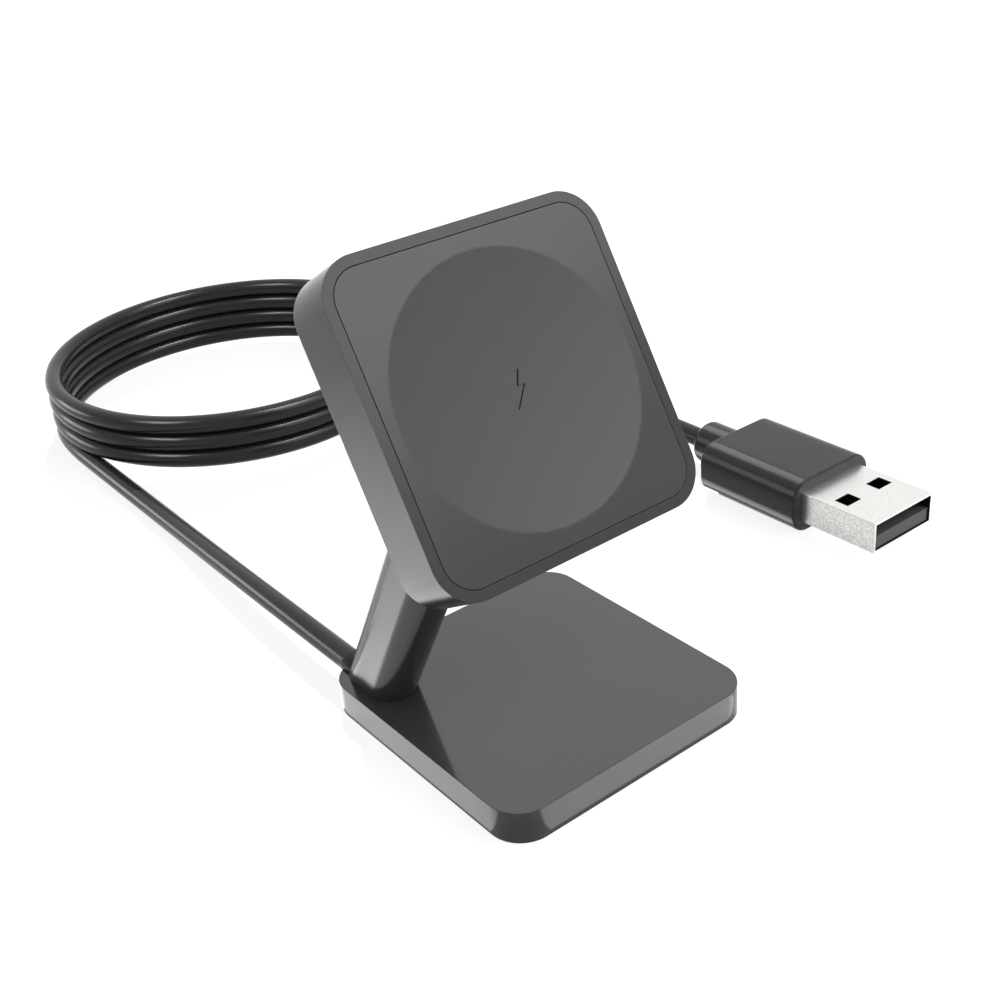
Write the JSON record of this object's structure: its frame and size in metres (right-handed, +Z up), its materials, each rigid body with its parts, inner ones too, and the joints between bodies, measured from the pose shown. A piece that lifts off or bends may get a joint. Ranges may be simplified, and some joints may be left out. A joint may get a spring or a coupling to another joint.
{
  "type": "smartwatch charging dock",
  "caption": "Small desk dock that holds a smartwatch on a tilted square head with a shallow round charging dish, on a leaning neck and weighted square base, with a coiled lead and plug.",
  "frame": {"origin": "on the supporting surface, under the middle of the base", "axes": "+Z up; the dock's front is -Y and its head leans back towards +Y; +X to the right seen from the front"},
  "size_m": [0.0828, 0.1531, 0.0568],
  "materials": {
    "base_cover": "satin dark grey",
    "base_plate": "matt black",
    "foot_pad": "matt black",
    "base_weight": "plain",
    "base_screws": "plated",
    "neck": "satin dark grey",
    "neck_foot_clamp": "plain",
    "neck_foot_screws": "plated",
    "neck_head_clamp": "plain",
    "neck_head_screws": "plated",
    "head_shell": "satin dark grey",
    "face_panel": "fine satin dark grey",
    "panel_tape": "foam",
    "charging_coil": "enamelled copper",
    "alignment_magnet": "nickel plated",
    "ferrite_disc": "matt",
    "circuit_board": "solder mask",
    "board_screws": "plated",
    "control_chip": "matt",
    "board_capacitors": "plain",
    "neck_wires": "insulated",
    "cable_gland": "matt",
    "cable_lead": "satin",
    "cable_coil": "satin",
    "cable_tail": "satin",
    "plug_body": "satin",
    "plug_shell": "fine grain",
    "plug_tongue": "matt",
    "plug_contacts": "gold plated"
  },
  "bodies": {
    "root": {"base_cover": "base_cover", "base_plate": "base_plate", "foot_pad": "foot_pad", "base_weight": "base_weight", "base_screws": "base_screws", "neck": "neck", "neck_foot_clamp": "neck_foot_clamp", "neck_foot_screws": "neck_foot_screws", "neck_head_clamp": "neck_head_clamp", "neck_head_screws": "neck_head_screws", "head_shell": "head_shell", "face_panel": "face_panel", "panel_tape": "panel_tape", "charging_coil": "charging_coil", "alignment_magnet": "alignment_magnet", "ferrite_disc": "ferrite_disc", "circuit_board": "circuit_board", "board_screws": "board_screws", "control_chip": "control_chip", "board_capacitors": "board_capacitors", "neck_wires": "neck_wires", "cable_gland": "cable_gland", "cable_lead": "cable_lead", "cable_coil": "cable_coil", "cable_tail": "cable_tail", "plug_body": "plug_body", "plug_shell": "plug_shell", "plug_tongue": "plug_tongue", "plug_contacts": "plug_contacts"}
  },
  "joints": []
}
